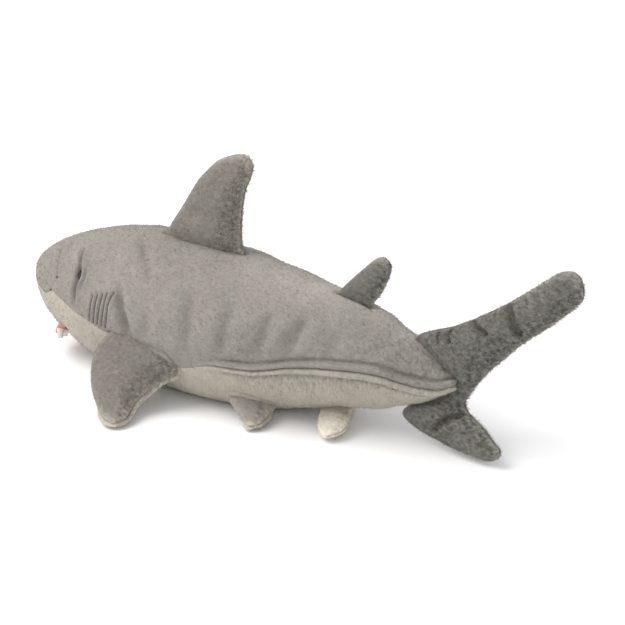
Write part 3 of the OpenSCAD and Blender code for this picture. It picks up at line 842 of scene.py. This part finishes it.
def fabric_sheet(name, points, height, slot, nap, keep=None, comb=(0, 0.75, -0.35), bare_and_shaded=None, rim=None):
    """A fabric panel, its outer side raised by height and its inner side a fabric's thickness in,
    and its pile."""
    centre = np.ones(points.shape) * points.mean(axis=(0, 1))
    centre[..., 1] = points[..., 1]
    normal = outward_normals(points, centre)
    height = height + puff(points + normal * height[..., None], normal) + tufts(points, nap)
    outer = points + normal * height[..., None]
    outer[..., 2] = np.maximum(outer[..., 2], 0)
    inner = points + normal * np.minimum(height, 0.4)[..., None] - outward_normals(outer, centre) * FABRIC_T
    obj = closed_sheet(name, outer, inner, FABRICS[slot][0], nap, keep, bare_and_shaded, rim)
    return obj, grow_pile(obj, slot, comb)


def back_panel(side):
    y = body_rows(SNOUT_Y - NOSE_CAP, REAR_Y + NOSE_CAP)[:, None]
    share = bands((0, 0.1, 6), (0.1, 0.7, 38), (0.7, 0.9, 18), (0.9, 1, 14, False, True))
    angle = side * station(y, BACK_EDGE) * share
    points = skin(y, angle)
    y = np.broadcast_to(y, angle.shape)
    height, bare_and_shaded = body_relief(points, y, angle)
    height += rolled(edge_distance(points, False), y, WELT_BACK_W)
    height += tucked(edge_distance(points, True), 0.12)
    nap = 0.08 + 0.5 * ease((y - 55) / 50)
    # painted highlight: the top of the back, from the dorsal fin's rear to the tail, painted lighter through
    # the rim layer
    rim = 0.3 * bell(angle, 24) * ease((y + 45) / 30)
    return fabric_sheet(f"back_{SIDES[side]}_fabric", points, height, "back_plush", nap, bare_and_shaded=bare_and_shaded, rim=rim)


def nose_panel():
    side_y = body_rows(SNOUT_Y - NOSE_CAP, NOSE_TIP_Y)
    y = np.concatenate([side_y[::-1], side_y[1:]])[:, None]
    side = np.where(np.arange(len(y)) < len(side_y), 1, -1)[:, None]
    share = spaced(0, 1, 22, True, True)[None]
    high, low = station(y, BACK_EDGE), station(y, BELLY_EDGE)
    angle = side * (high + (low - high) * share)
    points = skin(y, angle)
    y = np.broadcast_to(y, angle.shape)
    height, bare_and_shaded = body_relief(points, y, angle)
    for first in (False, True):
        height += tucked(edge_distance(points, first), 0.8)
    return fabric_sheet("nose_fabric", points, height, "back_plush", np.full(y.shape, 0.1), bare_and_shaded=bare_and_shaded)


def lip_bow(y, angle):
    across = np.minimum(np.abs(angle - 180) / MOUTH_HALF_ANGLE, 1)
    near = np.clip(1.4 - np.abs(y - MOUTH_BACK_Y + MOUTH_GAPE / 2) / 30, 0, 1)
    return MOUTH_BOW * near * (1 - across**2)


def belly_panel():
    front = body_rows(SNOUT_Y - NOSE_CAP, MOUTH_BACK_Y - MOUTH_GAPE)
    rear = body_rows(MOUTH_BACK_Y, REAR_Y + NOSE_CAP)
    mouth_row = len(front) - 1
    y = np.concatenate([front, rear])[:, None]
    share = bands(
        (0, 0.05, 12, True), (0.05, 0.14, 14), (0.14, 0.86, 60), (0.86, 0.95, 14), (0.95, 1, 12, False, True),
    )
    seam = station(y, BELLY_EDGE)
    angle = seam + (360 - 2 * seam) * share
    bowed = np.maximum(y - lip_bow(y, angle), SNOUT_Y - NOSE_CAP)
    points = skin(bowed, angle)
    y = np.broadcast_to(bowed, angle.shape)
    signed = np.where(angle > 180, angle - 360, angle)
    height, bare_and_shaded = body_relief(points, y, signed)
    for first in (False, True):
        height += rolled(edge_distance(points, first), y, WELT_BELLY_W)
    inside = np.abs(angle[mouth_row] - 180) < MOUTH_HALF_ANGLE
    open_lip = np.clip(1 - np.abs(np.arange(len(y)) - mouth_row - 0.5) / 9, 0, 1)[:, None]
    height -= 1.2 * open_lip**3 * inside
    keep = np.ones((len(y) - 1, y.shape[1] - 1), bool)
    keep[mouth_row] = ~(inside[1:] & inside[:-1])
    nap = 0.12 + 0.5 * bell(np.abs(signed) - 104, 14) * ease((y + 40) / 30)
    return fabric_sheet("belly_fabric", points, height, "cream_plush", nap, keep, (0, 0.15, -0.9), bare_and_shaded)


def body_filling():
    """Loose fibre that fills the body, just inside its fabric."""
    y = np.linspace(SNOUT_Y + 3, REAR_Y - 4, 120)[:, None]
    angle = np.linspace(-180, 180, 97)[None, :-1]
    points = skin(y, angle)
    y, angle = np.broadcast_arrays(y, angle)
    height, _ = body_relief(points, y, angle)
    centre = points.mean(1, keepdims=True)
    ring = np.concatenate([points[:, -1:], points, points[:, :1]], 1)
    normal = outward_normals(ring, np.broadcast_to(centre, ring.shape))[:, 1:-1]
    inset = FABRIC_T + 1.1 - np.minimum(height, 0)
    inset = inset + 1.5 * bell(y - MOUTH_BACK_Y + 8, 16) * ease((np.abs(angle) - 110) / 20)
    inside = points - normal * inset[..., None]
    return rings_mesh("body_filling", [list(inside)], STUFFING)


def make_torso():
    for (panel, pile), node in (
        (back_panel(1), "back_left_panel"), (back_panel(-1), "back_right_panel"),
        (belly_panel(), "belly_panel"), (nose_panel(), "nose_panel"),
    ):
        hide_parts(node)
        for obj in (panel, pile):
            if node == "nose_panel":
                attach(obj, "torso")
            else:
                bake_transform(obj)
    filling = body_filling()
    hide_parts("body_stuffing")
    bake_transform(filling)


# ---- Eyes, stitches and mouth ----

def place(obj, node, slot):
    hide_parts(node)
    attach(obj, "torso")


def seat(y, angle):
    """A point of the skin, the direction out of it, and two directions across it, the first
    towards the tail."""
    normal = skin_normal(y, angle)
    normal = normal if normal[0] * angle > 0 else -normal
    u = unit(np.array([0, 1, 0]) - normal * normal[1])
    return skin(y, angle), normal, u, np.cross(normal, u)


def round_circle(count):
    """Cosines and sines round a circle."""
    turn = np.linspace(0, 2 * math.pi, count + 1)[:-1, None]
    return np.cos(turn), np.sin(turn)


def eye(side):
    """Domed plastic eye with a short rim, drawn into the head."""
    at, normal, u, v = seat(EYE_Y, side * EYE_A)
    base = at - normal * EYE_SINK
    cos, sin = round_circle(32)
    circle = (cos * u + sin * v) * EYE_R
    rings = [base - normal * 1.2 + circle * r for r in (0.7, 0.95, 1.0)]
    rise = np.linspace(0, math.pi / 2, 12)[:-1]
    rings += [base + normal * EYE_H * math.sin(t) + circle * math.cos(t) for t in rise]
    name = f"eye_{SIDES[side]}"
    place(rings_mesh(f"{name}_dome", [rings], EYE_PLASTIC), name, "eye_plastic")


def lift_at(y, angle):
    """Height of the relief at one point of the skin."""
    point = skin(y, angle)[None, None]
    return float(body_relief(point, np.full((1, 1), y), np.full((1, 1), angle))[0][0, 0])


def bead(centre, along, across, up):
    """Rings of one small rounded bead with the given half axes."""
    cos, sin = round_circle(8)
    ring = cos * across + sin * up
    rise = np.linspace(-math.pi / 2, math.pi / 2, 7)[1:-1]
    return [centre + along * math.sin(t) + ring * math.cos(t) for t in rise]


STITCH_PITCH = 1.5      # from one thread of a gill slit to the next
STITCH_LIFT = 0.5       # how far a stitch's middle stands out of the skin


def gill_stitches(side):
    """Five slits in satin stitch: short threads laid side by side across each slit."""
    beads = []
    for i in range(GILL_COUNT):
        line = gill_line(side, i, 60)
        length = np.linalg.norm(np.diff(skin(*line), axis=0), axis=-1).sum()
        count = int(length / STITCH_PITCH)
        for k in range(count):
            t = (k + 0.5) / count * (len(line[0]) - 1)
            y, angle = (np.interp(t, range(len(values)), values) for values in line)
            at, normal, u, v = seat(y, angle)
            wobble = 0.10 * math.sin(2.4 * k + i)
            centre = at + normal * (lift_at(y, angle) + STITCH_LIFT) + u * wobble
            beads.append(bead(centre, u * 0.56 + v * 0.18, v * 0.42, normal * THREAD_R))
    name = SIDES[side]
    place(rings_mesh(f"gill_{name}_threads", beads, THREAD), f"gill_stitches_{name}", "stitching")


def nostril(side):
    """A knot of thread at the tip of the nose panel's wedge, and one at the end of the nose fold."""
    beads = []
    for y, angle in KNOTS:
        at, normal, u, v = seat(y, side * angle)
        centre = at + normal * (lift_at(y, side * angle) + STITCH_LIFT)
        for turn, lift in ((0.4, 0.15), (1.5, 0.35), (2.5, 0.2)):
            along = u * math.cos(turn) + v * math.sin(turn)
            cross = v * math.cos(turn) - u * math.sin(turn)
            beads.append(bead(centre + normal * lift, along * 0.95, cross * 0.36, normal * 0.4))
    name = f"nostril_{SIDES[side]}"
    place(rings_mesh(f"{name}_knot", beads, THREAD), name, "stitching")


def lip_point(across, back):
    """A point on the skin of the mouth: across from -1 to 1, back from 0 (upper lip) to 1 (lower)."""
    angle = 180 + across * MOUTH_HALF_ANGLE
    y = MOUTH_BACK_Y - MOUTH_GAPE * (1 - back)
    return skin(y - lip_bow(y, angle), angle), y, angle


def mouth_lining():
    """Coral fabric inside the mouth, rolled out over the upper lip as the gum."""
    across = np.linspace(-1.05, 1.05, 56)
    a = np.clip(across, -1, 1)
    grid, lift = [], []
    for back in np.linspace(-0.35, 1.25, 26):
        gum = 9.6 * math.sqrt(max(1 - ((back - 0.2) / 0.46) ** 2, 0))
        scallops = 0.4 * bell(a * 6 % 1 - 0.5, 0.2) * (gum > 0)
        hollow = -2.6 * bell(back - 0.78, 0.2)
        grid.append(lip_point(across, back)[0])
        lift.append((gum + scallops) * (1 - a**4) + hollow * (1 - a**2) - 1.9)
    points = np.array(grid)
    normal = outward_normals(points, np.array([0, -170, 50.0]))
    outer = points + normal * np.array(lift)[..., None]
    obj = closed_sheet("mouth_fabric_lining", outer, outer - normal * 1.0, MOUTH_FABRIC)
    place(obj, "mouth_lining", "mouth_fabric")


TOOTH_T = 5.6           # thickness of the felt at a tooth's root


def tooth(root, across, down, width, length):
    """Rings of one felt tooth: a flat cone with a rounded point."""
    thick_way = np.cross(across, down)
    cos, sin = round_circle(16)
    flat = signed_power(cos, 0.8) * across
    deep = signed_power(sin, 0.8) * thick_way
    rings = []
    for v in np.linspace(0, 0.985, 9):
        taper = math.sqrt(1 - v**2) * (1 - 0.3 * v)
        centre = root + down * length * v - thick_way * 0.8 * v**2
        rings.append(centre + flat * width / 2 * taper + deep * TOOTH_T / 2 * (1 - 0.45 * v))
    return rings


def teeth(name, node, count, back, width, length, lift, lean, reach):
    rings = []
    for k in range(count):
        a = (2 * (k + 0.5) / count - 1) * reach
        root, y, angle = lip_point(a, back)
        across = unit(lip_point(a + 0.03, back)[0] - root)
        normal = skin_normal(y - lip_bow(y, angle), angle)
        normal = normal if normal[2] < 0 else -normal
        down = unit(normal * lean[0] + np.array([0, lean[1], lean[2]]))
        size = 1.0 if k % 2 == 0 else 0.82
        rings.append(tooth(root + normal * lift, across, down, width * size, length * size))
    place(rings_mesh(name, rings, TOOTH_FELT), node, "tooth_felt")


def make_face():
    for side, name in SIDES.items():
        washer = bpy.data.objects[f"eye_washer_{name}"]
        washer.data.materials.clear()
        washer.data.materials.append(WASHER)
        eye(side)
        gill_stitches(side)
        nostril(side)
    mouth_lining()
    teeth("upper_felt_teeth", "upper_teeth", 7, 0.34, 9.0, 7.0, 2.2, (0.45, 0.2, -0.8), 0.92)
    teeth("lower_felt_teeth", "lower_teeth", 5, 0.95, 4.4, 4.6, -0.2, (0.8, -0.45, -0.3), 0.7)


# ---- Fins ----

class Fin:
    """A stuffed fin: two fabric panels round a middle surface given by a table of rows. low and
    high are the spans over which its two ends are rounded, with low at 0 for a sewn root."""

    def __init__(self, rows, half_t, low, high, mirror):
        self.table = np.array(rows, float)
        if mirror:
            self.table[:, (FRONT_X, REAR_X)] *= -1
        self.half_t, self.low, self.high = half_t, low, high
        self.first, self.last = rows[0][0], rows[-1][0]

    def middle(self, s, c):
        """Point of the middle surface at span s and chord c. Near a tip the chord shrinks so that
        the outline is round."""
        start, end = (
            np.stack([smooth(self.table, first + k, s) for k in range(3)], -1) for first in (FRONT_X, REAR_X)
        )
        c = 0.5 + (c - 0.5) * self.cap(s, 1.0)
        return start + (end - start) * c[..., None]

    def cap(self, s, stretch):
        """1 along the fin, falling to 0 in a quarter circle at each rounded tip."""
        low = np.clip((self.first - s) / (self.low * stretch) + 1, 0, 1) if self.low else 0
        high = np.clip((s - self.last) / (self.high * stretch) + 1, 0, 1)
        return np.sqrt(np.clip(1 - np.maximum(low, high) ** 2, 0, 1))

    def thickness(self, s, c):
        across = np.clip(1 - np.abs(2 * c - 1) ** 2.4, 0, 1) ** 0.55
        thick = self.half_t * smooth(self.table, FULLNESS, s) * across * self.cap(s, 1.8)
        if self.low:
            middle = self.middle(s, c)
            heights, ends = zip(*BODY_END)
            past = middle[..., 1] - np.interp(middle[..., 2], heights, ends)
            thick = thick * (0.28 + 0.72 * ease((past + 2) / 20))
        return thick

    def grids(self, face, rows, cols):
        s = spaced(self.first, self.last, rows, bool(self.low), True)
        c = spaced(0, 1, cols, True, True)
        s, c = np.meshgrid(s, c, indexing="ij")
        inner_s = np.clip(s, self.first + 0.5 * self.low, self.last - 0.5 * self.high)
        half = np.full_like(c, 0.5)
        along = self.middle(inner_s + 0.01, half) - self.middle(inner_s - 0.01, half)
        chord = self.middle(inner_s, np.ones_like(c)) - self.middle(inner_s, np.zeros_like(c))
        normal = unit(np.cross(along, chord))
        return s, c, self.middle(s, c), face * normal, self.thickness(s, c)


FIN_TUCK = 1.2          # how far a fin's seam is drawn in
RIM_ROLL = 2.2          # half thickness at which the roll beside the seam is full
# RIM_LIGHT: below this half thickness a fin's outline is painted lighter, as painted rim light
RIM_LIGHT = 4.2         # half thickness below which a fin's outline looks lighter
CREASE_ROLL = 1.3       # height of the fabric's roll on the tail side of a crease


def crease(points, fin, line, depth, width):
    """A fold across a fin along points of span and chord: the height it adds, and how far its pile
    is thinned and its colour darkened as painted shade.
    """
    gap, share, side = along_line(points, fin.middle(*np.array(line, float).T))
    fade = ease(share / 0.2) * 0.7 + 0.3
    roll = CREASE_ROLL * bell(gap * side - 2.0 * width, 1.6 * width) * (gap < 6 * width)
    return fade * (roll - depth * bell(gap, width)), 0.8 * bell(gap, 0.9 * width)


def fin_panel(name, fin, face, slot, fabric, size, rim, creases, relief):
    """One panel of a fin and its pile. rim is the height of the roll along its trailing edge."""
    s, c, middle, normal, t = fin.grids(face, *size)
    spine = fin.middle(np.clip(s, fin.first + 0.1, fin.last - 0.1), np.full_like(c, 0.5))
    inward = unit(spine - middle)
    edge = np.clip(1 - t / RIM_ROLL, 0, 1)
    trailing = np.maximum(ease((c - 0.62) / 0.25), ease((s - fin.last + 0.2) / 0.12))
    roll = rim * trailing * np.sin(math.pi * np.clip(t / (2 * RIM_ROLL), 0, 1)) ** 2
    outer = middle + normal * t[..., None] + inward * (FIN_TUCK * edge**2 - roll)[..., None]
    height = 0.6 * soft_noise(outer, 15, 4 + face) + 0.3 * soft_noise(outer, 7, 6 + face)
    bare_and_shaded = np.zeros_like(height)
    for line in creases:
        rise, painted_bare_shade = crease(middle, fin, *line)
        height += rise
        bare_and_shaded += painted_bare_shade
    if relief is not None:
        height += relief(s, c)
    full = ease(t / 4)
    height *= full
    nap = 0.45 + 0.5 * ease((c - 0.4) / 0.4) if fin.low else 0.1 + 0.9 * ease((c - 0.52) / 0.36)
    height = height + full * puff(outer + normal * height[..., None], normal, grow=0.08, pressure=8.0)
    outer = outer + normal * (height + tufts(outer, nap) * ease(t / 1.5))[..., None]
    inner = middle + normal * (np.maximum(t - FABRIC_T, 0.15) * (t > 0.01))[..., None]
    inner = inner + inward * (FIN_TUCK * edge**2 + 0.4 * edge)[..., None]
    outer[..., 2] = np.maximum(outer[..., 2], 0.2)
    inner[..., 2] = np.maximum(inner[..., 2], 0.3)
    # painted light: a fin's thin outline, most of all its trailing edge and tips, painted lighter as painted
    # rim light, and much less on the cream fabric
    tip = np.maximum(trailing, ease((fin.first + 0.2 - s) / 0.12) * (fin.low > 0))
    painted_edge_light = (0.3 + 0.7 * tip) * np.clip(1 - t / RIM_LIGHT, 0, 1)
    if slot == "cream_plush":
        painted_edge_light *= 0.2
    obj = closed_sheet(name, outer, inner, FABRICS[fabric][0], nap, bare_and_shaded=bare_and_shaded, rim=painted_edge_light)
    return obj, grow_pile(obj, fabric, (0, 0.6, 0.2))


def fin_filling(name, fin):
    """Loose fibre between a fin's two panels."""
    start = 0.5 * fin.low or 0.05 * (fin.last - fin.first)
    c = np.linspace(0.1, 0.9, 16)
    rings = []
    for s in np.linspace(fin.first + start, fin.last - 0.5 * fin.high, 26):
        span = np.full_like(c, s)
        middle = fin.middle(span, c)
        along = fin.middle(span + 0.01, c) - fin.middle(span - 0.01, c)
        normal = unit(np.cross(along, middle[-1] - middle[0]))
        offset = normal * np.maximum(fin.thickness(span, c) - FABRIC_T - 0.9, 0.06)[:, None]
        rings.append(np.concatenate([middle + offset, (middle - offset)[::-1]]))
    return rings_mesh(f"{name}_filling", [rings], STUFFING)


def standing(slot, fabric, face=-1):
    """Panels of a fin with a left and a right side: name, slot, the fabric's shade, where a copy
    other than the slot's own is painted light or painted shade on that fin, the side it faces, and
    the roll along its trailing edge."""
    return [("left", slot, fabric, face, 0), ("right", slot, fabric, -face, 0)]


def lying(roll, fabric):
    """Panels of a fin with an upper and a lower side."""
    return [("upper", "fin_plush", fabric, 1, 0), ("lower", "cream_plush", "cream_plush", -1, roll)]


def make_fin(name, rows, half_t, panels, start, end, size, mirror=False, low=0.0, high=0.13,
             creases=(), relief=None):
    """Both panels of a fin and its filling."""
    fin = Fin(rows, half_t, low, high, mirror)
    flip = -1 if mirror else 1
    pieces = []
    for side, slot, fabric, face, rim in panels:
        obj, pile = fin_panel(
            f"{name}_{side}_fabric", fin, flip * face, slot, fabric, size, rim, creases, relief,
        )
        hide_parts(f"{name}_{side}_panel")
        pieces += [obj, pile]
    filling = fin_filling(name, fin)
    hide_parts(f"{name}_stuffing")
    start, end = ([flip * p[0] * MM, p[1] * MM, p[2] * MM] for p in (start, end))
    for obj in [*pieces, filling]:
        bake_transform(obj)


def dorsal_relief(s, c):
    dents = -1.4 * bell(s - 0.30, 0.06) * bell(c - 0.30, 0.12)
    return dents - 1.2 * bell(s - 0.62, 0.09) * bell(c - 0.42, 0.14)


# Creases of the tail, as span and chord along each, depth and width
TAIL_CREASES = [
    ([(0.85, 0.0), (0.832, 0.25), (0.805, 0.5), (0.775, 0.74)], 6.5, 2.3),
    ([(0.762, 0.0), (0.752, 0.2), (0.738, 0.42)], 4.6, 1.8),
    ([(0.715, 0.02), (0.685, 0.18), (0.662, 0.34)], 3.0, 1.2),
    ([(0.69, 0.02), (0.664, 0.16), (0.642, 0.28)], 3.0, 1.2),
    ([(0.345, 0.97), (0.325, 0.75), (0.295, 0.5), (0.275, 0.35)], 5.6, 1.9),
]


def make_fins():
    make_fin(
        "dorsal", DORSAL, 8, standing("fin_plush", "fin_plush"),
        (0, -68, 101), (0, -68, 124), (84, 50), relief=dorsal_relief,
    )
    # painted shade: the rear dorsal fin's fin fabric drawn in the darker tail shade
    make_fin(
        "rear_dorsal", REAR_DORSAL, 5.5, standing("fin_plush", "tail_plush"),
        (-2, 45, 86), (-3.5, 54, 104), (46, 30), high=0.22,
    )
    for side, name in SIDES.items():
        make_fin(
            f"pectoral_{name}", PECTORAL, 7, lying(2.6, "fin_plush"),
            (46, -97, 40), (62, -100, 24), (66, 46), side < 0,
        )
        # painted light: the pelvic fins' upper fin fabric drawn in the lighter back shade
        make_fin(
            f"pelvic_{name}", PELVIC, 4.5, lying(2.2, "back_plush"),
            (30, -12, 13), (42, -9, 8), (40, 30), side < 0, high=0.25,
        )
    # painted light: the anal fin's cream fabric drawn in the paler painted lit copy
    make_fin(
        "anal", ANAL, 5, standing("cream_plush", "painted_lit_cream_plush", 1),
        (9, 39, 10), (22, 42, 7.5), (42, 30), high=0.3,
    )
    make_fin(
        "tail", TAIL, 8, standing("tail_plush", "tail_plush"),
        (0, 98, 50), (0, 138, 50), (200, 54), low=0.05, high=0.05, creases=TAIL_CREASES,
    )


# ---- Camera, floor and light ----

def stand_at(obj, place, direction):
    obj.location = place
    obj.rotation_euler = direction.to_track_quat("-Z", "Y").to_euler()


def make_camera():
    """Seen from behind its left side, a little from above."""
    azimuth, elevation, distance = math.radians(120), math.radians(25), 1.5
    level = math.cos(elevation)
    back = Vector((math.sin(azimuth) * level, -math.cos(azimuth) * level, math.sin(elevation)))
    aim = Vector((-0.0106, 0.0098, 0.0657))
    data = bpy.data.cameras.new("camera")
    data.sensor_width, data.lens = 36, 128.96
    data.clip_start, data.clip_end = 0.01, 50
    camera = add_object("camera", data)
    stand_at(camera, aim + back * distance, -back)
    bpy.context.scene.camera = camera


def make_floor():
    reach = 12000
    corners = [(-reach, -reach, 0), (reach, -reach, 0), (reach, reach, 0), (-reach, reach, 0)]
    mesh = new_mesh("floor", corners, [(0, 1, 2, 3)])
    material, nodes, shader = new_material("floor")
    grain = nodes.noise(nodes.place(), 60.0, 2.0)
    nodes.set(shader, {
        "Base Color": nodes.mix(grain, (0.95, 0.95, 0.955, 1), (0.97, 0.97, 0.975, 1)),
        "Roughness": 0.9, "Specular IOR Level": 0.0,
    })
    mesh.materials.append(material)
    add_object("floor", mesh)


def make_light():
    """A bright, even surround and one large soft light from ahead of its left side."""
    world = bpy.data.worlds.new("world")
    world.use_nodes = True
    surround = world.node_tree.nodes["Background"].inputs
    surround["Color"].default_value = (0.985, 0.99, 1.0, 1)
    surround["Strength"].default_value = 0.86
    bpy.context.scene.world = world
    data = bpy.data.lights.new("key", "AREA")
    data.shape, data.size, data.energy, data.color = "DISK", 1.8, 38, (1.0, 0.985, 0.96)
    spot = Vector((0.75, -1.2, 1.95))
    stand_at(add_object("key", data), spot, Vector((0, 0, 0.05)) - spot)
    bpy.context.scene.view_settings.view_transform = "Standard"


make_camera()
make_floor()
make_light()
make_torso()
make_face()
make_fins()
